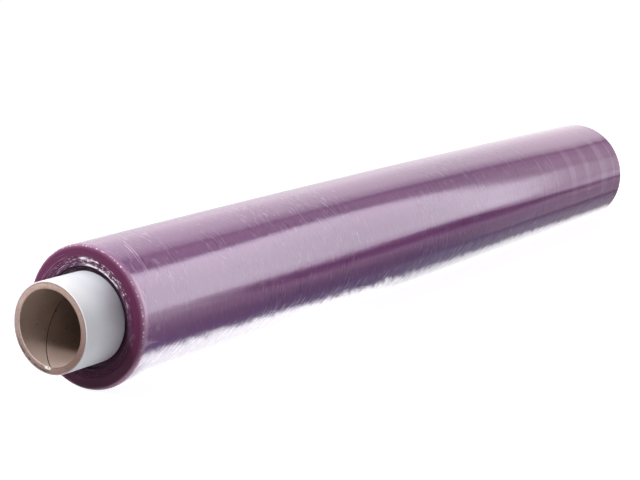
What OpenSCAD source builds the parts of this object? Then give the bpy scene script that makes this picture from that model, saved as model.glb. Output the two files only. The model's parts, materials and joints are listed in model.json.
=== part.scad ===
// Catering roll of cling film, wound on a spiral paper core and lying on its side.
// The roll's axis runs along X. The film rests at Z = 0 on a small flat, under the origin.
// Sizes are in millimetres.

/* [Core] */
// Diameter of the bore, where a dispenser's spindle goes
bore_d = 30; // [20:0.5:60]
// Wall of the brown board
board_wall = 2.6; // [1.5:0.1:8]
// Thickness of the white outer ply
paper_wall = 0.4; // [0.2:0.05:1]
// How far the core stands out of the film at each end
core_overhang = 20; // [5:1:60]

/* [Seam in the bore] */
// Advance of the inner ply's butt seam in one turn
seam_pitch = 78; // [50:1:140]
// Width of the seam's open joint, along the core
seam_width = 0.6; // [0.3:0.1:1.2]
// Depth of the open joint in the board
seam_depth = 0.3; // [0.15:0.05:0.6]

/* [Film] */
// Width of the film
film_width = 450; // [290:5:600]
// Thickness of the wound film at the middle of the roll
film_build = 11.8; // [9:0.1:40]
// How much lower the wound film is at its ends than at the middle
crown = 1.1; // [0:0.1:1.5]
// Radius of the rounded rims
rim_round = 2; // [1:0.1:3]
// Width of the flat that the soft roll settles on, at the middle of the roll
flat_width = 12; // [4:0.5:16]

/* [End faces] */
// Width of the sunken turns next to the core
well_width = 2.1; // [1:0.1:3]
// Depth of the sunken turns, behind the turns around them
well_depth = 1.1; // [0.5:0.1:2]
// How far the end face leans in from the rim to the core
face_dish = 0.9; // [0.3:0.1:2]
// Number of ridges where the edges of the turns stand in steps
ridge_count = 5; // [3:1:6]
// Distance from one ridge to the next
ridge_pitch = 0.75; // [0.5:0.05:0.8]
// Height of the ridges
ridge_height = 0.25; // [0.1:0.05:0.4]

/* [Waves near the far end] */
// Number of shallow ring waves in the film
wave_count = 4; // [2:1:6]
// Distance from one wave to the next
wave_pitch = 13; // [9:0.5:18]
// Depth of the waves
wave_depth = 0.08; // [0.04:0.01:0.3]

/* [Hidden] */
$fn = 96;

// The core, from the bore outwards
bore_r = bore_d / 2;
board_r = bore_r + board_wall;
core_r = board_r + paper_wall;
core_length = film_width + 2 * core_overhang;

// The wound film
film_r = core_r + film_build;
rim_r = film_r - crown;
film_end = film_width / 2;
shoulder = film_end - rim_round;

// The roll's axis stands where the flat has its width at the middle of the roll
axis_z = sqrt(film_r * film_r - flat_width * flat_width / 4);

// The end face is straight from the sunken turns to where the rim's round begins
well_r = core_r + well_width;
face_r = rim_r - rim_round;

// Steps of the curved outlines
rim_steps = 6;
crown_steps = 14;
wave_steps = 6;
seam_steps = 45;

// Room by which a cutting shape runs past the surface that it cuts
cut_past = 0.5;

// Stretch of the film that carries the waves
wave_start = shoulder - wave_count * wave_pitch;

// Radius of the wound film at x along the roll
function film_radius(x) =
    film_r - crown * pow(x / shoulder, 2)
    - (x > wave_start ? wave_depth * (1 - cos(360 * (x - wave_start) / wave_pitch)) / 2 : 0);

// How far the straight part of an end face lies behind the rim, at radius r
function face_depth(r) = face_dish * (face_r - r) / (face_r - core_r);

// An end face as [radius, depth] points, from the core to the start of the film's side
function end_face() = concat(
    [
        [core_r, face_depth(core_r) + well_depth],
        [well_r - well_depth / 4, face_depth(well_r) + well_depth]
    ],
    [
        for (i = [0 : ridge_count - 1])
        for (half = [0, 1])
        let (r = well_r + (i + half / 2) * ridge_pitch)
        [r, face_depth(r) + half * ridge_height]
    ],
    [
        for (r = [well_r + ridge_count * ridge_pitch])
        [r, face_depth(r)]
    ],
    [
        for (i = [0 : rim_steps])
        let (a = 90 * i / rim_steps)
        [face_r + rim_round * sin(a), rim_round * (1 - cos(a))]
    ]
);

// Places along the film's side, between the two rims
function side_places() = concat(
    [for (i = [1 : crown_steps]) -shoulder + (wave_start + shoulder) * i / crown_steps],
    [
        for (i = [1 : wave_count * wave_steps - 1])
        wave_start + wave_pitch * i / wave_steps
    ]
);

// Half section of the film: near end face, side, far end face
function film_section() = concat(
    [for (p = end_face()) [p[0], p[1] - film_end]],
    [for (x = side_places()) [film_radius(x), x]],
    [for (p = reversed(end_face())) [p[0], film_end - p[1]]]
);

function reversed(list) = [for (i = [len(list) - 1 : -1 : 0]) list[i]];

// Lays a shape that stands along Z on the roll's axis
module on_axis() {
    translate([0, 0, axis_z])
        rotate([0, 90, 0])
            children();
}

// A plain tube from one end of the core to the other
module core_layer(inner_r, outer_r) {
    difference() {
        cylinder(r = outer_r, h = core_length, center = true);
        cylinder(r = inner_r, h = core_length + 2 * cut_past, center = true);
    }
}

// One three-cornered section of the seam's cutter, at height z along the core
function seam_corners(z) =
    let (
        a = 360 * (z + core_length / 2) / seam_pitch,
        inner_r = bore_r - cut_past,
        half_w = seam_width / 2 * (seam_depth + cut_past) / seam_depth,
        tip_r = bore_r + seam_depth
    )
    [
        [inner_r * cos(a), inner_r * sin(a), z - half_w],
        [tip_r * cos(a), tip_r * sin(a), z],
        [inner_r * cos(a), inner_r * sin(a), z + half_w]
    ];

// The open butt joint of the innermost ply: it starts at the lowest point of the near
// mouth and winds through the whole bore
module seam_cutter() {
    reach = core_length / 2 + seam_width + cut_past;
    rings = ceil(2 * reach / seam_pitch * seam_steps);
    points = [
        for (i = [0 : rings])
        for (p = seam_corners(-reach + 2 * reach * i / rings))
        p
    ];
    sides = [
        for (i = [0 : rings - 1])
        for (k = [0 : 2])
        let (a = 3 * i + k, b = 3 * i + (k + 1) % 3)
        for (face = [[a, b, b + 3], [a, b + 3, a + 3]])
        face
    ];
    last = 3 * rings;
    polyhedron(points, concat([[2, 1, 0]], sides, [[last, last + 1, last + 2]]));
}

// Brown board tube that carries the roll
module core_tube() {
    color([0.72, 0.60, 0.53])
        on_axis()
            difference() {
                core_layer(bore_r, board_r);
                seam_cutter();
            }
}

// White paper ply around the board
module core_wrap() {
    color([0.90, 0.91, 0.93])
        on_axis()
            core_layer(board_r, core_r);
}

// All turns of the film as one solid, flattened where it rests
module wound_film() {
    color([0.50, 0.30, 0.48])
        difference() {
            on_axis()
                rotate_extrude()
                    polygon(film_section());
            translate([-film_end - cut_past, -film_r, -film_r])
                cube([film_width + 2 * cut_past, 2 * film_r, film_r]);
        }
}

core_tube();
core_wrap();
wound_film();
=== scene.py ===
"""Looks of a catering roll of cling film on a paper core, lying on its side."""

import json
import math

import bpy
import numpy as np
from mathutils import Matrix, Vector


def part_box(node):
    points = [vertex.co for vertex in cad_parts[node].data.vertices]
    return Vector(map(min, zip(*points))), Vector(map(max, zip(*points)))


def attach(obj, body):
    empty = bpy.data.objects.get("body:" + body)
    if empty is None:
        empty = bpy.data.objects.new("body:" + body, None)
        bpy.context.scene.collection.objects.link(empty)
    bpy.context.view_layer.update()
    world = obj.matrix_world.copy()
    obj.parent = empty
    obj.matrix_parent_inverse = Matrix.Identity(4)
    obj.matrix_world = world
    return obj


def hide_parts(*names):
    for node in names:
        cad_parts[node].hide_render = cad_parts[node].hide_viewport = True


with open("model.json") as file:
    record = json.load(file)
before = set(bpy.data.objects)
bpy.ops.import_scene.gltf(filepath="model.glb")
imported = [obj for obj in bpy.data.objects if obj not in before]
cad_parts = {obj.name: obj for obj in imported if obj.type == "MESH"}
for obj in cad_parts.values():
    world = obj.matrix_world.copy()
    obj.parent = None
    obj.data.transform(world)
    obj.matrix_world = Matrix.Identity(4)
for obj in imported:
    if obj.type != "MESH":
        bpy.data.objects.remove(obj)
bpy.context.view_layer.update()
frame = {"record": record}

MM = 0.001
TAU = 2 * math.pi

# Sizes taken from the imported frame, in metres
tube_low, tube_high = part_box("core_tube")
wrap_low, wrap_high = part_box("core_wrap")
film_low, film_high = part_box("wound_film")
bore_mount = next(m for m in frame["record"]["mounts"] if m["name"] == "core_bore")
BORE_R = bore_mount["dims"]["r_mm"] * MM
AXIS_Z = bore_mount["pos_m"][2]
BOARD_R = (tube_high.y - tube_low.y) / 2
CORE_R = (wrap_high.y - wrap_low.y) / 2
CORE_END = tube_high.x
FILM_R = (film_high.y - film_low.y) / 2
FILM_END = film_high.x

# Sizes that repeat those of the part's source
CROWN = 1.1 * MM
RIM_ROUND = 2.0 * MM
WELL_WIDTH = 2.1 * MM
WELL_DEPTH = 1.1 * MM
FACE_DISH = 0.9 * MM
RIDGE_COUNT = 5
RIDGE_PITCH = 0.75 * MM
RIDGE_HEIGHT = 0.25 * MM
WAVE_COUNT = 4
WAVE_PITCH = 13 * MM
SEAM_PITCH = 78 * MM
SEAM_WIDTH = 0.6 * MM
SEAM_DEPTH = 0.3 * MM

# The ring waves are 0.08 mm deep in the source. Gloss shows them strongly, so they are
# shallower here.
WAVE_DEPTH = 0.03 * MM

# Waves of the slack front near the far end: place along the roll, half width, depth
FRONT_WAVES = [
    (157 * MM, 4.0 * MM, 0.01 * MM),
    (199 * MM, 6.0 * MM, 0.03 * MM),
]

# Where the front is slackest, in degrees from +Y up over the top
FRONT_ANGLE = 166

# Painted highlights in arcs on the front near the far end, where its waves catch the light: place
# along the roll, lean, half width, how pale
FRONT_ARC_HIGHLIGHTS = [
    (122 * MM, 0.10, 0.8 * MM, 0.16),
    (137 * MM, 0.10, 0.8 * MM, 0.16),
    (156 * MM, 0.06, 1.0 * MM, 0.20),
    (159 * MM, 0.06, 5.0 * MM, 0.16),
    (178 * MM, 0.05, 6.0 * MM, 0.18),
    (197 * MM, 0.05, 1.2 * MM, 0.20),
    (200 * MM, 0.05, 6.5 * MM, 0.26),
    (214 * MM, 0.05, 1.6 * MM, 0.22),
]

# Largest depth of the slack lumps in the wound film
LUMP_DEPTH = 0.18 * MM
LUMP_COUNT = 14

# Places that follow from them
RIM_R = FILM_R - CROWN
SHOULDER = FILM_END - RIM_ROUND
FACE_R = RIM_R - RIM_ROUND
WELL_R = CORE_R + WELL_WIDTH
BAND_R = WELL_R + RIDGE_COUNT * RIDGE_PITCH
WAVE_START = SHOULDER - WAVE_COUNT * WAVE_PITCH

# The camera stands a little above the roll, on the near end's side
CAMERA_PLACE = (-0.7183, -0.4238, AXIS_Z + 0.1521)
CAMERA_HEADING = 57.28
CAMERA_DIP = 10.706
CAMERA_LENS = 97.3
SENSOR_WIDTH = 36.0


def place_camera():
    """The photograph's viewpoint: a long lens, nearly level."""
    data = bpy.data.cameras.new("camera")
    data.sensor_width = SENSOR_WIDTH
    data.lens = CAMERA_LENS
    data.clip_start = 0.01
    data.clip_end = 50
    camera = bpy.data.objects.new("camera", data)
    camera.location = CAMERA_PLACE
    camera.rotation_euler = (math.radians(90 - CAMERA_DIP), 0, -math.radians(CAMERA_HEADING))
    bpy.context.collection.objects.link(camera)
    bpy.context.scene.camera = camera


place_camera()


# Shader maths


class Wire:
    """A value in a node tree. Arithmetic on wires adds the Math nodes for it."""

    def __init__(self, tree, socket):
        self.tree = tree
        self.socket = socket

    def maths(self, operation, *values):
        inputs = dict(enumerate((self, *values)))
        return self.tree.node("Math", inputs, {"operation": operation})

    def __add__(self, other):
        return self.maths("ADD", other)

    __radd__ = __add__

    def __mul__(self, other):
        return self.maths("MULTIPLY", other)

    __rmul__ = __mul__

    def __sub__(self, other):
        return self.maths("SUBTRACT", other)

    def __rsub__(self, other):
        return self.tree.node("Math", {0: other, 1: self}, {"operation": "SUBTRACT"})

    def __truediv__(self, other):
        return self.maths("DIVIDE", other)

    def __pow__(self, other):
        return self.maths("POWER", other)

    def __abs__(self):
        return self.maths("ABSOLUTE")

    def larger(self, other):
        return self.maths("MAXIMUM", other)


class Tree:
    """The nodes of one material or of the world."""

    def __init__(self, owner):
        owner.use_nodes = True
        self.nodes = owner.node_tree.nodes
        self.links = owner.node_tree.links
        self.nodes.clear()

    def node(self, kind, inputs=None, settings=None, out=0):
        """Adds a node: its settings first, then its sockets' values or links."""
        made = self.nodes.new("ShaderNode" + kind)
        for name, value in (settings or {}).items():
            if name == "stops":
                self.set_stops(made.color_ramp.elements, value)
            else:
                setattr(made, name, value)
        for name, value in (inputs or {}).items():
            if isinstance(value, Wire):
                self.links.new(value.socket, made.inputs[name])
            else:
                made.inputs[name].default_value = value
        return Wire(self, made.outputs[out]) if made.outputs else made

    @staticmethod
    def set_stops(elements, stops):
        while len(elements) < len(stops):
            elements.new(1.0)
        for element, (place, colour) in zip(elements, stops):
            element.position = place
            element.color = colour

    def place(self):
        """The point being shaded as three wires: along the roll, across it, and above its axis."""
        parts = self.node("SeparateXYZ", {0: self.node("TexCoord", out="Object")})
        x, y, z = (Wire(self, socket) for socket in parts.socket.node.outputs)
        return x, y, z - AXIS_Z

    def vector(self, x, y, z):
        return self.node("CombineXYZ", {0: x, 1: y, 2: z})

    def noise(self, vector, scale, detail=2.0, roughness=0.5, waver=0.0):
        inputs = {"Vector": vector, "Scale": scale, "Detail": detail, "Roughness": roughness,
                  "Distortion": waver}
        return self.node("TexNoise", inputs)

    def step(self, value, low, high):
        """0 below low, 1 above high, smooth between them. low may be the larger."""
        inputs = {0: value, 1: low, 2: high, 3: 0.0, 4: 1.0}
        return self.node("MapRange", inputs, {"interpolation_type": "SMOOTHSTEP"})

    def slide(self, value, low, high, first, last):
        """first below low, last above high, and a straight line between them."""
        return self.node("MapRange", {0: value, 1: low, 2: high, 3: first, 4: last})

    def mix(self, factor, first, second):
        """A colour between two colours."""
        return self.node("Mix", {0: factor, 6: first, 7: second}, {"data_type": "RGBA"}, out=2)

    def ramp(self, factor, stops):
        return self.node("ValToRGB", {0: factor}, {"stops": stops})

    def bump(self, height, distance, base=None):
        """A normal from a height that runs from 0 to 1, over a distance in metres."""
        inputs = {"Height": height, "Distance": distance, "Strength": 1.0}
        if base is not None:
            inputs["Normal"] = base
        return self.node("Bump", inputs)

    def surface(self, shader):
        self.node("OutputMaterial", {"Surface": shader})


def shade(red, green, blue):
    return (red, green, blue, 1.0)


def new_material(name):
    material = bpy.data.materials.new(name)
    return material, Tree(material)


def wrinkle_pair(tree, x, y, z, strands):
    """A long double wrinkle near the near rim, above the middle, broken up by the strands."""
    along = x - y * 0.30 + 0.2079
    lines = tree.step(abs(abs(along) - 0.7 * MM), 0.45 * MM, 0.1 * MM)
    where = tree.step(z, 17 * MM, 20 * MM) * tree.step(y, -3 * MM, -8 * MM)
    return lines * where * tree.step(strands, 0.40, 0.55)


def far_arc_highlights(tree, x, y, z):
    """Painted highlights in arcs on the front near the far end, where its waves catch the light."""
    arcs = 0.0
    for place, lean, width, paleness in FRONT_ARC_HIGHLIGHTS:
        arcs = arcs + tree.step(abs(x - z * lean - place), width, 0.0) * paleness
    front = tree.step(y, -0.50 * FILM_R, -0.72 * FILM_R)
    return arcs * front * tree.step(z, -0.35 * FILM_R, 0.2 * FILM_R)


def film_side(tree, x, y, z, rim):
    """The outside of the roll: purple over many turns, glossy, with hair-fine wrinkles."""
    # Fine noises, drawn out round the roll, each leaning its own way
    hairs = tree.noise(tree.vector(x + z * 0.22 - y * 0.1, y * 0.20, z * 0.20), 1300.0, 3.0, 0.6)
    strands = tree.noise(
        tree.vector(x - z * 0.20, y * 0.25, z * 0.25), 900.0, 2.0, 0.6, waver=0.6)
    slanted = tree.noise(
        tree.vector(x + z * 0.45 - y * 0.25, y * 0.25, z * 0.25), 620.0, 2.0, 0.6, waver=0.8)
    leaning = tree.noise(tree.vector(x - z * 0.9, y * 0.15, z * 0.15), 1000.0, 2.0, 0.6, waver=0.4)

    # Broader ones: ruffles are strong at the near end only
    ruffles = tree.noise(tree.vector(x, y * 0.5, z * 0.5), 500.0, 2.0, 0.5)
    ruffles = ruffles * (tree.step(x, 0.05, -0.18) * 0.9 + 0.1)
    folds = tree.noise(tree.vector(x + y * 0.1, y * 0.12, z * 0.12), 160.0, 2.0, 0.5)
    swells = tree.noise(tree.vector(x, y * 0.5, z * 0.5), 30.0, 2.0, 0.5)

    # Strokes and creases crowd together in some places, and less at the far end
    crowded = tree.step(swells, 0.38, 0.58) * (tree.step(x, 0.12, -0.10) * 0.6 + 0.4)
    strokes = tree.step(strands, 0.60, 0.68) * crowded
    creases = tree.step(slanted, 0.63, 0.67) * crowded * tree.step(z, 0.0, 0.4 * FILM_R)
    wrinkles = wrinkle_pair(tree, x, y, z, strands)

    # Deep purple, paler at the far end, and painted light making it bluer low down and redder where
    # it faces level
    purple = tree.mix(swells, shade(0.300, 0.135, 0.280), shade(0.240, 0.118, 0.250))
    low = tree.step(z, 0.0, -0.5 * FILM_R)
    purple = tree.mix(low * (swells + 0.3), purple, shade(0.205, 0.130, 0.350))
    level = tree.step(z, 8 * MM, 4 * MM) * tree.step(z, -5 * MM, 0.0)
    level = level * (tree.step(x, -0.20, -0.10) * 0.45 + 0.10)
    purple = tree.mix(level, purple, shade(0.320, 0.085, 0.310))
    purple = tree.mix(tree.step(x, 0.0, 0.22) * 0.48, purple, shade(0.500, 0.255, 0.450))

    # Painted highlights on the hairs, strokes, creases, wrinkles and arcs, and a painted reflection
    # in pale fur low down
    pale = tree.step(hairs, 0.52, 0.74) * 0.10 + strokes * 0.24 + creases * 0.34
    pale = pale + wrinkles * 0.50 + far_arc_highlights(tree, x, y, z)
    purple = tree.mix(pale, purple, shade(0.78, 0.58, 0.78))
    reflected_fur = tree.step(leaning, 0.55, 0.65) * tree.step(z, -8.5 * MM, -11.5 * MM)
    reflected_fur = reflected_fur * (tree.step(x, 0.05, -0.10) * 0.35 + 0.25)
    purple = tree.mix(reflected_fur, purple, shade(0.92, 0.80, 0.95))
    # Painted shade in dark strokes
    shaded_strokes = tree.step(strands, 0.41, 0.34) * crowded * 0.45
    purple = tree.mix(shaded_strokes, purple, shade(0.070, 0.025, 0.065))

    # A painted highlight makes the rim pinker, most of all a little above the middle and low down
    rim_highlight = tree.step(z, 19 * MM, 13 * MM) * tree.step(z, -7 * MM, 2 * MM)
    rim_highlight = rim_highlight.larger(tree.step(z, -8 * MM, -14 * MM)) * 0.52 + 0.16
    purple = tree.mix(rim * rim_highlight, purple, shade(0.62, 0.33, 0.52))

    # The film lies smoother from the middle on
    smooth = tree.step(x, -0.12, 0.05)
    fine = (hairs + strokes * 0.5 + creases * 0.7) * (1.0 - smooth * 0.5) + wrinkles
    broad = tree.bump(ruffles, 0.045 * MM, tree.bump(folds, 0.025 * MM))
    dullness = tree.step(hairs, 0.3, 0.8) * (0.07 - smooth * 0.06) + (0.05 - smooth * 0.02)
    return tree.node("BsdfPrincipled", {
        "Base Color": purple,
        "Roughness": dullness,
        "Normal": tree.bump(fine, 0.030 * MM, broad),
        "IOR": 1.5,
    })


def crinkled_band(tree, radius, round_y, round_z, wine):
    """Adds painted glints on the crinkled edges, most of all just past the top.

    Gives back the colour, how glossy and glinting it is, and the height of the crinkles."""
    crinkle = tree.noise(tree.vector(radius, round_y * 7 * MM, round_z * 7 * MM), 1500.0, 4.0, 0.7)
    band = tree.step(radius, WELL_R + 0.1 * MM, WELL_R + 0.4 * MM)
    band = band * tree.step(radius, BAND_R + 0.5 * MM, BAND_R - 1.4 * MM)
    past_top = round_z * 0.93 - round_y * 0.37

    # Painted silvery glints on the crinkles, which are also less rough
    gloss_and_glint = tree.step(crinkle, 0.50, 0.60) * band * (tree.step(past_top, 0.0, 1.0) * 0.9 + 0.1)
    wine = tree.mix(gloss_and_glint * 0.50, wine, shade(0.58, 0.46, 0.60))

    # A painted highlight: a bright line next to the sunken ring
    inner_line = tree.step(radius, WELL_R + 1.3 * MM, WELL_R + 0.7 * MM)
    bright = tree.step(crinkle, 0.38, 0.48) * band * inner_line * tree.step(past_top, 0.84, 0.97)
    wine = tree.mix(bright * 0.9, wine, shade(0.96, 0.93, 0.97))

    # Painted glints, single and in a clump at the top of the band
    glints = tree.step(crinkle, 0.58, 0.63) * band * tree.step(past_top, 0.5, 0.9)
    clump = tree.step(round_z - round_y * 0.10, 0.965, 0.995)
    clump = clump * tree.step(radius, BAND_R - 1.6 * MM, BAND_R - 0.8 * MM)
    glints = glints + tree.step(crinkle, 0.46, 0.54) * band * clump
    wine = tree.mix(glints * 0.9, wine, shade(0.96, 0.92, 0.97))

    # A scuff to the right, a little under the middle
    across = (radius - CORE_R) / (RIM_R - CORE_R)
    scuff = tree.step(round_y * -0.966 - round_z * 0.259, 0.990, 0.999)
    scuff = scuff * tree.step(across, 0.30, 0.42) * tree.step(across, 0.66, 0.52)
    wine = tree.mix(scuff * tree.step(crinkle, 0.45, 0.60) * 0.6, wine, shade(0.40, 0.24, 0.34))
    return wine, gloss_and_glint, crinkle * band


def film_ends(tree, x, y, z, radius):
    """The cut edges of the turns: a sunken ring, a crinkled band and a smooth outer ring."""
    across = (radius - CORE_R) / (RIM_R - CORE_R)
    round_y = y / radius
    round_z = z / radius
    rings = tree.noise(tree.vector(radius, 0.0, 0.0), 2200.0, 2.0, 0.6)
    # Near black in the sunken ring, painted shade, and pale at the rounded rim, a painted highlight
    wine = tree.ramp(across, [
        (0.00, shade(0.016, 0.007, 0.016)),
        (0.20, shade(0.024, 0.010, 0.022)),
        (0.25, shade(0.105, 0.042, 0.090)),
        (0.50, shade(0.125, 0.029, 0.079)),
        (0.82, shade(0.128, 0.027, 0.076)),
        (0.91, shade(0.230, 0.085, 0.165)),
        (1.00, shade(0.660, 0.400, 0.580)),
    ])
    wine = tree.mix(rings * 0.40, wine, shade(0.060, 0.016, 0.045))
    # Painted highlights on fine rings on the left of the face
    lines = tree.noise(tree.vector(radius, round_y * MM, round_z * MM), 3200.0, 1.0, 0.5)
    lit_lines = tree.step(lines, 0.56, 0.66) * tree.step(round_y, -0.3, 0.2)
    lit_lines = lit_lines * tree.step(across, 0.86, 0.55)
    wine = tree.mix(lit_lines * 0.35, wine, shade(0.42, 0.25, 0.36))
    wine, gloss_and_glint, crinkles = crinkled_band(tree, radius, round_y, round_z, wine)

    # Painted glints dotted along the outermost turns
    spots = tree.noise(tree.vector(x * 0.5, round_y * 30 * MM, round_z * 30 * MM), 1300.0, 1.0, 0.5)
    outermost = tree.step(radius, RIM_R - 0.9 * MM, RIM_R - 0.7 * MM)
    outermost = outermost * tree.step(radius, RIM_R - 0.35 * MM, RIM_R - 0.5 * MM)
    dotted_glints = tree.step(spots, 0.55, 0.61) * outermost
    wine = tree.mix(dotted_glints * 0.8, wine, shade(0.90, 0.76, 0.86))

    # Painted shade: less light comes through the turns lower down
    low = tree.step(round_z, 0.40, -0.60)
    wine = tree.mix(low * 0.58, wine, shade(0.040, 0.006, 0.022))

    # Painted reflection: the rounded rim is pale low down, where it faces the bright floor
    facing = tree.step(round_z * 0.80 - round_y * 0.60, 0.40, -0.40) * tree.step(round_y, 0.1, -0.3)
    edge = tree.step(radius, RIM_R - 1.7 * MM, RIM_R - 0.5 * MM)
    wine = tree.mix(facing * edge * 0.8, wine, shade(0.70, 0.42, 0.58))
    return tree.node("BsdfPrincipled", {
        "Base Color": wine,
        "Roughness": 0.36 - gloss_and_glint * 0.15,
        "Specular IOR Level": 0.1,
        "Normal": tree.bump(crinkles, 0.35 * MM, tree.bump(rings, 0.05 * MM)),
    })


def film_material():
    """Tinted clear film, wound in many turns."""
    material, tree = new_material("tinted_film")
    x, y, z = tree.place()
    radius = (y * y + z * z) ** 0.5
    out = abs(x)
    on_rim = tree.step(out, SHOULDER + 0.7 * MM, SHOULDER + 1.1 * MM)
    on_face = tree.step(radius, FACE_R + 0.6 * MM, FACE_R)
    rim = tree.step(out, SHOULDER - 1.6 * MM, SHOULDER - 0.3 * MM)
    side = film_side(tree, x, y, z, rim)
    ends = film_ends(tree, x, y, z, radius)
    tree.surface(tree.node("MixShader", {0: on_rim.larger(on_face), 1: side, 2: ends}))
    return material


def bore_wall(tree, x, z, radius, point, fibres):
    """The inside of the tube, with painted light low down at the mouth, and its dark open joint."""
    clouds = tree.noise(point, 120.0, 2.0, 0.5)
    wall = tree.mix(clouds, shade(0.28, 0.200, 0.165), shade(0.36, 0.265, 0.220))
    wall = tree.mix(tree.step(fibres, 0.50, 0.72) * 0.40, wall, shade(0.42, 0.335, 0.285))
    specks = tree.step(tree.noise(point, 650.0, 1.0, 0.5), 0.70, 0.74)
    wall = tree.mix(specks * 0.6, wall, shade(0.10, 0.07, 0.05))
    # Painted light low down at the mouth
    mouth = tree.step(x, 18 * MM - CORE_END, 2 * MM - CORE_END) * tree.step(z, 0.0, -0.9 * BORE_R)
    wall = tree.mix(mouth * 0.50, wall, shade(0.72, 0.560, 0.500))
    joint = tree.step(radius, BORE_R + 0.03 * MM, BORE_R + 0.12 * MM)
    return tree.mix(joint, wall, shade(0.055, 0.030, 0.022))


def board_end(tree, y, z, radius, point, fibres):
    """The cut end of the tube: plies, mottling and pits, with painted shade low down and to the
    right.
    """
    round_y = y / radius
    round_z = z / radius
    end = tree.ramp((radius - BORE_R) / (BOARD_R - BORE_R), [
        (0.00, shade(0.26, 0.170, 0.135)),
        (0.25, shade(0.56, 0.430, 0.375)),
        (0.70, shade(0.60, 0.475, 0.425)),
        (1.00, shade(0.28, 0.190, 0.160)),
    ])
    plies = tree.noise(tree.vector(radius, y * 0.08, z * 0.08), 1500.0, 2.0, 0.6)
    end = tree.mix(tree.step(plies, 0.35, 0.7) * 0.5, end, shade(0.36, 0.240, 0.195))
    end = tree.mix(tree.step(fibres, 0.5, 0.7) * 0.4, end, shade(0.62, 0.50, 0.45))
    mottle = tree.noise(tree.vector(radius * 0.5, y, z), 700.0, 2.0, 0.6)
    end = tree.mix(tree.step(mottle, 0.48, 0.60) * 0.50, end, shade(0.46, 0.270, 0.230))
    end = tree.mix(tree.step(mottle, 0.44, 0.32) * 0.45, end, shade(0.40, 0.370, 0.340))
    # Painted shade low down and to the right
    low = tree.step(round_z, 0.8, -0.8)
    right = tree.step(round_y, 0.2, -0.9)
    end = tree.mix(low * 0.56 + right * 0.30 + 0.16, end, shade(0.20, 0.120, 0.105))

    # A pale inner lip low on the left
    lip = tree.step(radius, BORE_R + 0.45 * MM, BORE_R + 0.15 * MM) * low
    lip = lip * tree.step(round_y, -0.2, 0.3)
    end = tree.mix(lip * 0.70, end, shade(0.90, 0.76, 0.72))

    # A dark, patchy outer edge low on the left, and pits
    chips = tree.noise(point, 1100.0, 2.0, 0.6)
    dark_outer_edge = tree.step(radius, BOARD_R - 1.5 * MM, BOARD_R - 0.5 * MM)
    dark_outer_edge = dark_outer_edge * tree.step(round_z, 0.0, -0.7) * tree.step(round_y, -0.1, 0.2)
    dark_outer_edge = dark_outer_edge * tree.step(chips, 0.38, 0.48)
    end = tree.mix(dark_outer_edge * 0.85, end, shade(0.060, 0.040, 0.035))
    pits = tree.step(chips, 0.60, 0.66) * tree.step(round_z, 0.9, 0.0)
    end = tree.mix(pits * 0.45, end, shade(0.10, 0.065, 0.055))

    # A burr of white paper fibres near the lowest point
    burr = tree.step(round_y, -0.02, 0.05) * tree.step(round_y, 0.24, 0.14)
    burr = burr * tree.step(z, 0.0, -BORE_R) * tree.step(chips, 0.40, 0.48)
    burr = burr * tree.step(radius, BORE_R + 1.3 * MM, BORE_R + 0.8 * MM)
    return tree.mix(burr * 0.9, end, shade(0.95, 0.93, 0.92))


def board_material():
    """Grey-brown felted board."""
    material, tree = new_material("kraft_board")
    x, y, z = tree.place()
    radius = (y * y + z * z) ** 0.5
    point = tree.vector(x, y, z)
    fibres = tree.noise(point, 900.0, 4.0, 0.65)
    wall = bore_wall(tree, x, z, radius, point, fibres)
    end = board_end(tree, y, z, radius, point, fibres)
    on_end = tree.step(abs(x), CORE_END - 0.25 * MM, CORE_END - 0.10 * MM)
    tree.surface(tree.node("BsdfPrincipled", {
        "Base Color": tree.mix(on_end, wall, end),
        "Roughness": 0.85,
        "Specular IOR Level": 0.25,
        "Normal": tree.bump(fibres, 0.10 * MM),
    }))
    return material


def paper_material():
    """Satin white paper, faintly mottled."""
    material, tree = new_material("white_paper")
    x, y, z = tree.place()
    point = tree.vector(x, y, z)
    mottle = tree.noise(point, 260.0, 3.0, 0.6)
    grain = tree.noise(point, 1500.0, 2.0, 0.5)
    white = tree.mix(mottle, shade(0.745, 0.760, 0.82), shade(0.815, 0.825, 0.87))

    # Painted shade on the front towards the film, and painted light on top towards the mouth
    shade_by_film = tree.step(x, 5 * MM - CORE_END, 19 * MM - CORE_END)
    shade_by_film = shade_by_film * tree.step(y, -0.4 * CORE_R, -0.9 * CORE_R)
    white = tree.mix(shade_by_film * 0.42, white, shade(0.28, 0.23, 0.30))
    light_by_mouth = tree.step(x, 13 * MM - CORE_END, 2 * MM - CORE_END)
    light_by_mouth = light_by_mouth * tree.step(z, 0.3 * CORE_R, 0.9 * CORE_R)
    white = tree.mix(light_by_mouth * 0.7, white, shade(0.97, 0.94, 0.95))

    # The cut edge is darker low down
    cut = tree.step(abs(x), CORE_END - 0.12 * MM, CORE_END - 0.04 * MM)
    cut = cut * tree.step(z, 0.3 * CORE_R, -0.5 * CORE_R)
    white = tree.mix(cut * 0.85, white, shade(0.25, 0.20, 0.19))
    tree.surface(tree.node("BsdfPrincipled", {
        "Base Color": white,
        "Roughness": tree.step(mottle, 0.3, 0.7) * 0.1 + 0.50,
        "Specular IOR Level": 0.12,
        "Normal": tree.bump(grain, 0.02 * MM),
    }))
    return material


# Shapes


def ring_points(section, angles):
    """A grid of points round the roll's axis, from a closed loop of (x, radius) points.

    angles has one row for every section point, or one row for all of them."""
    section = np.asarray(section, float)
    angles = np.broadcast_to(angles, (len(section), np.shape(angles)[-1]))
    radius = section[:, 1:2]
    points = np.empty((*angles.shape, 3))
    points[..., 0] = section[:, 0:1]
    points[..., 1] = radius * np.cos(angles)
    points[..., 2] = radius * np.sin(angles)
    return points


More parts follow.
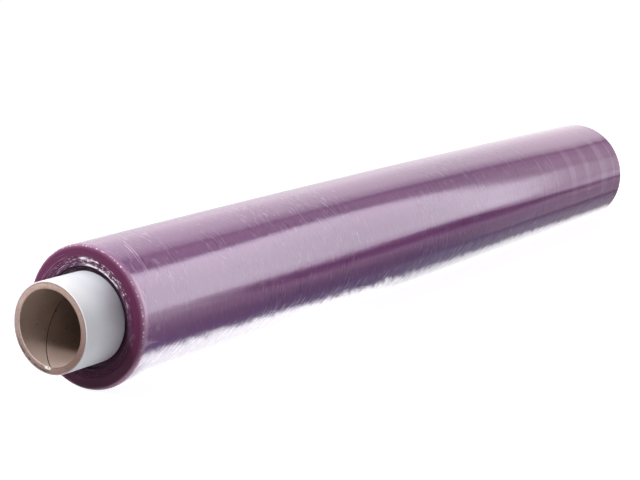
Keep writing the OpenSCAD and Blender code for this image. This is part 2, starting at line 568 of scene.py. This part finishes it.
def ring_mesh(name, points, material, sharp_angle):
    """Joins a grid of points, closed both ways, into a mesh object with smooth shading."""
    rows, count = points.shape[:2]
    row, column = np.mgrid[0:rows, 0:count]
    next_row = (row + 1) % rows
    next_column = (column + 1) % count
    corners = np.stack([
        row * count + column,
        row * count + next_column,
        next_row * count + next_column,
        next_row * count + column,
    ], axis=-1).reshape(-1, 4)
    placed = points.reshape(-1, 3) + (0, 0, AXIS_Z)
    mesh = bpy.data.meshes.new(name)
    mesh.from_pydata(placed.tolist(), [], corners.tolist())
    mesh.materials.append(material)
    mesh.shade_smooth()
    mesh.set_sharp_from_angle(angle=math.radians(sharp_angle))
    mesh.update()
    piece = bpy.data.objects.new(name, mesh)
    bpy.context.collection.objects.link(piece)
    return piece


def film_radius(x):
    """The wound film's radius along its side, waves included."""
    wave = WAVE_DEPTH * (1 - np.cos(TAU * (x - WAVE_START) / WAVE_PITCH)) / 2
    return FILM_R - CROWN * (x / SHOULDER) ** 2 - np.where(x > WAVE_START, wave, 0)


def front_waves(along, angles):
    """Ring waves near the far end that are deeper on the front, where the film is slack."""
    front = np.clip(np.cos(angles - math.radians(FRONT_ANGLE)) * 2.4 - 1.2, 0, 1)
    depth = np.zeros(np.broadcast_shapes(along.shape, angles.shape))
    for place, width, deep in FRONT_WAVES:
        depth += deep * np.exp(-((along - place) / width) ** 2)
    return depth * front


def face_depth(r):
    """How far the straight part of an end face lies behind the rim."""
    return FACE_DISH * (FACE_R - r) / (FACE_R - CORE_R)


def end_face(ridge_points, rim_points):
    """An end face as (radius, depth) points from the core to the start of the side."""
    face = [(CORE_R, face_depth(CORE_R) + WELL_DEPTH)]
    wall_r = WELL_R - WELL_DEPTH / 4
    face += [(r, face_depth(r) + WELL_DEPTH) for r in np.linspace(CORE_R, wall_r, 6)[1:]]
    for r in np.linspace(WELL_R, BAND_R, RIDGE_COUNT * ridge_points + 1):
        turn = (r - WELL_R) / RIDGE_PITCH
        ridge = RIDGE_HEIGHT * (1 - abs(2 * (turn % 1) - 1))
        face.append((r, face_depth(r) + ridge))
    face += [(r, face_depth(r)) for r in np.linspace(BAND_R, FACE_R, 7)[1:-1]]
    for a in np.linspace(0, math.pi / 2, rim_points):
        face.append((FACE_R + RIM_ROUND * math.sin(a), RIM_ROUND * (1 - math.cos(a))))
    return face


def build_film():
    """All turns of the film, with the shallow lumps that bend the reflections."""
    near = [(depth - FILM_END, r) for r, depth in end_face(4, 9)]
    far = [(FILM_END - depth, r) for r, depth in reversed(end_face(2, 7))]
    plain = np.linspace(-SHOULDER, WAVE_START, 190)[1:]
    waved = np.linspace(WAVE_START, SHOULDER, WAVE_COUNT * 12 + 1)[1:-1]
    side = [(x, float(film_radius(x))) for x in (*plain, *waved)]
    section = np.array(near + side + far)
    angles = np.linspace(0, TAU, 256, endpoint=False)
    points = ring_points(section, angles)

    along = section[:, 0:1]
    outward = np.clip((section[:, 1:2] - CORE_R) / (FACE_R - CORE_R), 0, 1)
    dice = np.random.default_rng(7)
    lump = np.zeros((len(section), len(angles)))
    for _ in range(LUMP_COUNT):
        turns = dice.integers(2, 6)
        length = dice.uniform(90, 260) * MM
        phase = dice.uniform(0, TAU, 2)
        lump += np.cos(TAU * along / length + phase[0]) * np.cos(turns * angles + phase[1])
    lump = (lump / np.abs(lump).max() - 1) * LUMP_DEPTH / 2 * outward
    lump -= front_waves(along, angles) * outward
    points[..., 1] += lump * np.cos(angles)
    points[..., 2] += lump * np.sin(angles)
    points[..., 2] = np.maximum(points[..., 2], -AXIS_Z)
    return ring_mesh("film_turns", points, film_material(), 50)


def build_board():
    """The board tube, with the open joint of its inner ply winding through the bore."""
    deep = np.concatenate([
        np.linspace(-CORE_END, -CORE_END + 80 * MM, 81),
        np.linspace(-CORE_END + 80 * MM, CORE_END - 30 * MM, 170)[1:],
        np.linspace(CORE_END - 30 * MM, CORE_END, 31)[1:],
    ])
    edge = 0.12 * MM
    bore = [(x, BORE_R) for x in deep[1:-1]]
    section = (
        [(-CORE_END + edge, BOARD_R), (-CORE_END, BOARD_R - edge)]
        + [(-CORE_END, r) for r in np.linspace(BOARD_R - edge, BORE_R + edge, 8)[1:]]
        + [(-CORE_END + edge, BORE_R)] + bore + [(CORE_END - edge, BORE_R)]
        + [(CORE_END, r) for r in np.linspace(BORE_R + edge, BOARD_R - edge, 8)]
        + [(CORE_END - edge, BOARD_R)]
        + [(x, BOARD_R) for x in np.linspace(CORE_END, -CORE_END, 60)[1:-1]]
    )
    section = np.array(section)
    around = SEAM_WIDTH / 2 / SEAM_PITCH * TAU
    joint = np.array([-1.6, -1.0, -0.55, 0.0, 0.55, 1.0, 1.6]) * around
    plain = np.linspace(joint[-1], TAU + joint[0], 118)[1:-1]
    columns = np.concatenate([joint, plain])
    seam = -math.pi / 2 + TAU * (section[:, 0:1] + CORE_END) / SEAM_PITCH
    angles = seam + columns
    points = ring_points(section, angles)
    sunk = np.zeros(len(columns))
    sunk[1:6] = np.array([0.0, 0.8, 1.0, 0.8, 0.0]) * SEAM_DEPTH
    in_bore = (np.abs(section[:, 1:2] - BORE_R) < edge / 2)
    grow = in_bore * sunk / BORE_R
    points[..., 1] *= 1 + grow
    points[..., 2] *= 1 + grow
    return ring_mesh("board_tube", points, board_material(), 40)


def build_wrap():
    """The white outer ply, a thin tube with a soft cut edge."""
    edge = 0.1 * MM
    inner = BOARD_R
    mid = (inner + CORE_R) / 2
    section = (
        [(-CORE_END + edge, CORE_R), (-CORE_END, mid), (-CORE_END + edge, inner)]
        + [(CORE_END - edge, inner), (CORE_END, mid), (CORE_END - edge, CORE_R)]
        + [(x, CORE_R) for x in np.linspace(CORE_END, -CORE_END, 120)[1:-1]]
    )
    angles = np.linspace(0, TAU, 192, endpoint=False)
    points = ring_points(section, angles)
    return ring_mesh("paper_wrap", points, paper_material(), 60)


# Studio
#
# Four lamps, the world and the floor light the roll. The cards show only in its gloss: a ceiling
# over it, a softbox in front of it and a dark gap between them, and glows on the floor.

CEILING_REACH = 1.00
SOFTBOX_REACH = 0.98
GAP_REACH = 1.02
CARD_FOOT = 181.6
FLOOR_HALF = 6.0
FLOOR_Z = -0.1 * MM
FLOOR_CARD_Z = 0.2 * MM
UNDER_CARD_Z = 0.4 * MM
LAMP_AIM = Vector((-0.1, 0, AXIS_Z))
WHITE = shade(1.0, 1.0, 1.0)


def light_path(tree):
    """1 for what the camera sees straight, in gloss or through clear things."""
    path = tree.node("LightPath").socket.node.outputs
    names = ("Is Camera Ray", "Is Glossy Ray", "Is Transmission Ray")
    camera, glossy, through = (Wire(tree, path[name]) for name in names)
    return camera.larger(glossy).larger(through)


def set_world():
    """White all round for the camera and in gloss, and a plain grey light for the rest."""
    world = bpy.data.worlds.new("studio")
    bpy.context.scene.world = world
    tree = Tree(world)
    white = tree.node("Background", {"Color": WHITE, "Strength": 1.0})
    grey = tree.node("Background", {"Color": WHITE, "Strength": 0.20})
    seen = tree.node("MixShader", {0: light_path(tree), 1: grey, 2: white})
    tree.node("OutputWorld", {"Surface": seen})


def glow(tree, strength, tint=(1.0, 1.0, 1.0)):
    return tree.node("Emission", {"Color": shade(*tint), "Strength": strength})


def floor_material():
    """Pale floor: white for the camera and in gloss, with the roll's shadow kept faint."""
    material, tree = new_material("studio_floor")
    bounce = tree.node("BsdfDiffuse", {"Color": shade(0.65, 0.65, 0.65)})
    shaded = tree.node("BsdfDiffuse", {"Color": shade(0.42, 0.42, 0.42)})
    white = tree.node("AddShader", {0: shaded, 1: glow(tree, 0.91)})
    tree.surface(tree.node("MixShader", {0: light_path(tree), 1: bounce, 2: white}))
    return material


def card_material(name, strength, shape, tint=(1.0, 1.0, 1.0), clear=False):
    """A glow for a card, as strong as the function shape of the place says.

    A clear card lets the card behind it show where it doesn't glow."""
    material, tree = new_material(name)
    base = tree.node("BsdfTransparent") if clear else glow(tree, 0.03)
    glows = {0: shape(tree, *tree.place()), 1: base, 2: glow(tree, strength, tint)}
    tree.surface(tree.node("MixShader", glows))
    return material


def stage_mesh(name, points, material):
    """A sheet of the studio, from a grid of points."""
    points = np.asarray(points, float)
    rows, count = points.shape[:2]
    faces = [
        (r * count + c, r * count + c + 1, (r + 1) * count + c + 1, (r + 1) * count + c)
        for r in range(rows - 1)
        for c in range(count - 1)
    ]
    mesh = bpy.data.meshes.new(name)
    mesh.from_pydata(points.reshape(-1, 3).tolist(), [], faces)
    mesh.materials.append(material)
    sheet = bpy.data.objects.new(name, mesh)
    bpy.context.collection.objects.link(sheet)
    return sheet


def card(name, points, material):
    """A sheet of the studio that shows only in the roll's gloss."""
    sheet = stage_mesh(name, points, material)
    sheet.visible_camera = False
    sheet.visible_shadow = False
    sheet.visible_diffuse = False


def round_card(name, reach, stations, material):
    """A card curved round the roll's axis, about a metre away.

    stations are (x, from angle, to angle), in degrees from +Y up over the top."""
    points = []
    for x, from_angle, to_angle in stations:
        angles = np.radians(np.linspace(from_angle, to_angle, 20))
        points.append([(x, reach * math.cos(a), AXIS_Z + reach * math.sin(a)) for a in angles])
    card(name, points, material)


def flat_card(name, height, x_range, y_range, material):
    card(name, [[(x, y, height) for x in x_range] for y in y_range], material)


def past_ceiling(tree, x, y):
    """How far back of the ceiling's front edge a place is. The edge comes forward far off."""
    return y - tree.slide(x, 1.6, 2.3, 0.0, -0.20)


def ceiling_glow(tree, x, y, z):
    """Fades towards its front edge, which is ragged for the near half of the roll."""
    rough = tree.noise(tree.vector(x, y * 0.04, 0.0), 160.0, 2.0, 0.6)
    back = past_ceiling(tree, x, y)
    fade = tree.step(back, 0.03, 0.30) * 0.42 + 0.50
    behind = tree.step(y, 0.86, 1.0) * (tree.step(x, 2.3, 1.2) * 0.24 + 0.08)
    ragged = (rough - 0.5) * (tree.step(x, 1.35, 0.95) * 0.10 + 0.01)
    edge = tree.step(back + ragged, 0.0, 0.015)
    return fade * edge * (1.0 - behind) * (tree.step(x, 2.3, 1.2) * 0.12 + 0.87)


def softbox_glow(tree, x, y, z):
    """Bright for the near end, even for the middle, and fading out beyond it.

    Its top edge is a little torn, as film with fine wrinkles shows it."""
    rough = tree.noise(tree.vector(x, y * 0.05, 0.0), 260.0, 3.0, 0.7) - 0.5
    top = tree.ramp(x * 0.333, [
        (0.333, shade(0.455, 0.455, 0.455)),
        (0.400, shade(0.385, 0.385, 0.385)),
        (0.483, shade(0.400, 0.400, 0.400)),
        (0.567, shade(0.535, 0.535, 0.535)),
        (0.650, shade(0.800, 0.800, 0.800)),
        (0.767, shade(0.914, 0.914, 0.914)),
    ])
    torn = tree.step(x, 1.7, 1.2) * 0.35 + tree.step(x, 1.65, 1.8) * 0.25 + 0.20
    blur = tree.slide(x, 1.9, 2.25, 0.0, -0.22)
    lit = tree.step(rough * torn - (y + top), blur, 0.02)
    near = tree.step(x, 1.5, 0.9) * 0.34
    middle = tree.step(x, 1.75, 1.9) * 0.18
    bright = (near + middle + 0.58) * (tree.step(x, 2.25, 1.75) * 0.86 + 0.14)
    faded = tree.step(x, 0.95, 1.15) * 0.25 + 0.10
    foot = (tree.step(z + rough * 0.4, -0.04, 0.12) - 1.0) * faded + 1.0
    return bright * lit * foot


def gap_glow(tree, x, y, z):
    """Nearly black next to the ceiling, and a little lighter towards the softbox."""
    back = past_ceiling(tree, x, y)
    near = tree.step(back, -0.05, -0.16) * 0.42
    middle = tree.step(back, -0.02, -0.50) * 0.90
    return near.larger(middle * tree.step(x, 1.3, 1.6))


def front_floor_glow(tree, x, y, z):
    """Dark before the roll but for a faint band, and bright further off and to the left."""
    rough = tree.noise(tree.vector(x, y * 0.03, 0.0), 450.0, 2.0, 0.6)
    y = y * ((rough - 0.5) * 1.5 + 1.0)
    off = tree.step(y, -0.40, -0.80) * tree.step(x + (y + 0.03) * 1.93, 0.20, 0.05) * 0.45
    off = off + tree.step(y, -0.17, -0.40) * tree.step(x + y * 1.5, 0.10, -0.15) * 0.30
    left = tree.step(y, -0.06, -0.16) * 0.38 + tree.step(y, -0.16, -0.35) * 0.30
    left = left * tree.step(x + y * 1.2, -0.165, -0.215)
    band = (tree.step(y, -0.050, -0.090) * 0.12).larger(tree.step(x, 0.0, 0.14) * 0.08)
    band = band * tree.step(y, -0.115, -0.095)
    far = tree.step(x + (y + 0.34), 0.55, 0.68) * tree.step(y, -0.11, -0.16) * 0.30
    return off.larger(left).larger(band).larger(far)


def under_glow(tree, x, y, z):
    """Comes up across the floor under the roll, with a ragged edge, later at the far end."""
    rough = tree.noise(tree.vector(x + y * 0.5, y * 0.07, 0.0), 700.0, 3.0, 0.7)
    amount = tree.step(x, 0.10, -0.05) * 0.016 + 0.014
    ragged = y + (rough - 0.5) * amount - tree.step(x, 0.10, 0.26) * 0.0030
    ragged = ragged - tree.step(abs(x + 0.06), 0.06, 0.0) * 0.0015
    dark = tree.slide(x, -0.15, 0.0, -0.0365, -0.0290)
    bright = tree.slide(x, -0.15, 0.0, -0.0300, -0.0215)
    level = tree.step(ragged, -0.026, -0.014) * 0.20 + 0.48
    level = level.larger(tree.step(x, 0.06, -0.06))
    under = tree.step(y, -0.018, -0.030) * 0.35 + 0.65
    haze = tree.step(ragged, -0.050, -0.030) * (tree.step(x, -0.05, 0.05) * 0.04 + 0.03)
    edge = tree.step(ragged, dark, bright) * level * under
    return edge.larger(haze) * (tree.step(x, -0.215, -0.200) * 0.5 + 0.5)


def back_floor_glow(tree, x, y, z):
    """A little greyer than white behind the near half."""
    return tree.step(x, 0.2, 1.0) * 0.22 + 0.76


def area_lamp(name, place, size, watts):
    """A square soft lamp that points at the roll's near half."""
    data = bpy.data.lights.new(name, "AREA")
    data.size = size
    data.energy = watts
    lamp = bpy.data.objects.new(name, data)
    lamp.location = place
    lamp.rotation_euler = (lamp.location - LAMP_AIM).to_track_quat("Z", "Y").to_euler()
    lamp.visible_camera = False
    lamp.visible_glossy = False
    bpy.context.collection.objects.link(lamp)


def build_floor():
    sides = (-FLOOR_HALF, FLOOR_HALF)
    points = [[(x, y, FLOOR_Z) for x in sides] for y in sides]
    stage_mesh("floor", points, floor_material())


def build_round_cards():
    """What the upper front of the roll mirrors."""
    ceiling = [(0.2, 2, 94), (1.6, 2, 94), (2.3, 2, 106), (4.0, 2, 106)]
    softbox = [
        (0.20, 112, CARD_FOOT),
        (1.45, 106, CARD_FOOT),
        (1.70, 114, CARD_FOOT),
        (1.95, 130, CARD_FOOT),
        (2.30, 146, CARD_FOOT),
        (2.70, 150, CARD_FOOT),
    ]
    gap = [(0.2, 80, CARD_FOOT), (4.0, 80, CARD_FOOT)]
    round_card("ceiling", CEILING_REACH, ceiling,
               card_material("ceiling", 1.75, ceiling_glow, (1.0, 0.97, 0.98)))
    round_card("softbox", SOFTBOX_REACH, softbox,
               card_material("softbox", 7.2, softbox_glow, (0.94, 0.87, 1.0), clear=True))
    round_card("gap_card", GAP_REACH, gap,
               card_material("gap_card", 1.00, gap_glow, (1.0, 0.80, 0.95)))


def build_flat_cards():
    """What the low front and the back of the roll mirror."""
    flat_card("front_floor", FLOOR_CARD_Z, (-0.185, 4.0), (-1.3, -0.038),
              card_material("front_floor", 5.7, front_floor_glow, (0.98, 0.86, 1.0)))
    flat_card("under_roll", UNDER_CARD_Z, (-0.215, 0.40), (-0.044, 0.034),
              card_material("under_roll", 6.1, under_glow))
    flat_card("back_floor", FLOOR_CARD_Z, (-0.3, 1.5), (0.06, 1.3),
              card_material("back_floor", 1.0, back_floor_glow))


def build_studio():
    set_world()
    build_floor()
    build_round_cards()
    build_flat_cards()
    area_lamp("overhead", (-1.225, 0.375, 1.15), 0.30, 20.0)
    area_lamp("top_light", (0.15, 0.0, 1.3), 0.8, 5.8)
    area_lamp("fill", (-0.9, -1.0, 0.5), 0.8, 1.4)
    area_lamp("back_light", (-0.5, 1.0, 0.7), 0.8, 3.0)


def dress(piece, node):
    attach(piece, "root")
    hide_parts(node)


dress(build_film(), "wound_film")
dress(build_board(), "core_tube")
dress(build_wrap(), "core_wrap")
build_studio()

bpy.context.scene.view_settings.view_transform = "Standard"
